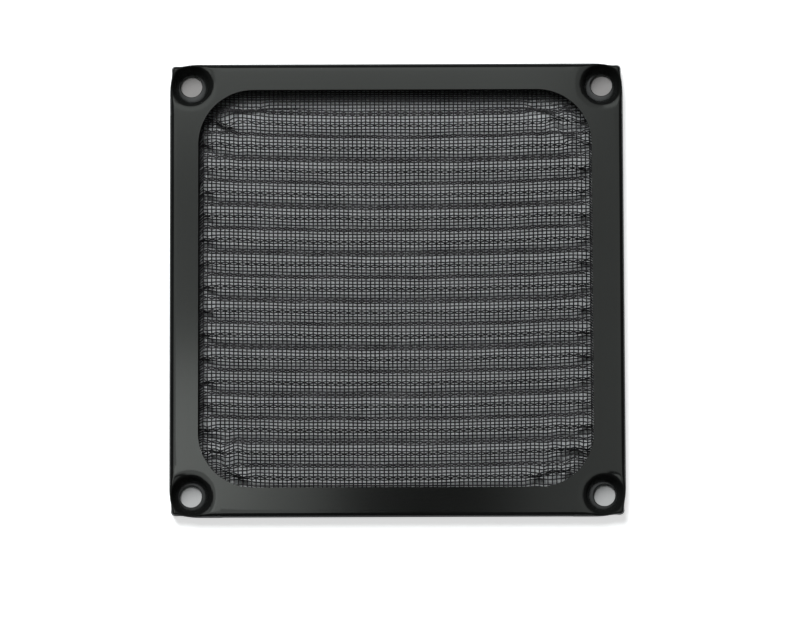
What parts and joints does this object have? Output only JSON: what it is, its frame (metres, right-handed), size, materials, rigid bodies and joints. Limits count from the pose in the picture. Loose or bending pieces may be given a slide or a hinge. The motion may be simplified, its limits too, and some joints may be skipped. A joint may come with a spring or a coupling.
{
  "type": "fan guard",
  "caption": "Square fan guard: a folded black metal frame with a countersunk dimple and screw hole in each corner, holding a pleated woven wire screen.",
  "frame": {"origin": "middle of the back, on the plane of the back hems that lies against the fan", "axes": "+Z out of the guard's face, away from the fan; +Y towards the top of the face, across the pleats; +X to the right along the pleats, seen from the face"},
  "size_m": [0.091, 0.091, 0.003],
  "materials": {
    "black_frame": "satin black coating on folded aluminium sheet",
    "black_wire_cloth": "semi-gloss black coating on woven wire"
  },
  "bodies": {
    "root": {"front_frame": "black_frame", "mesh_screen": "black_wire_cloth"}
  },
  "joints": []
}
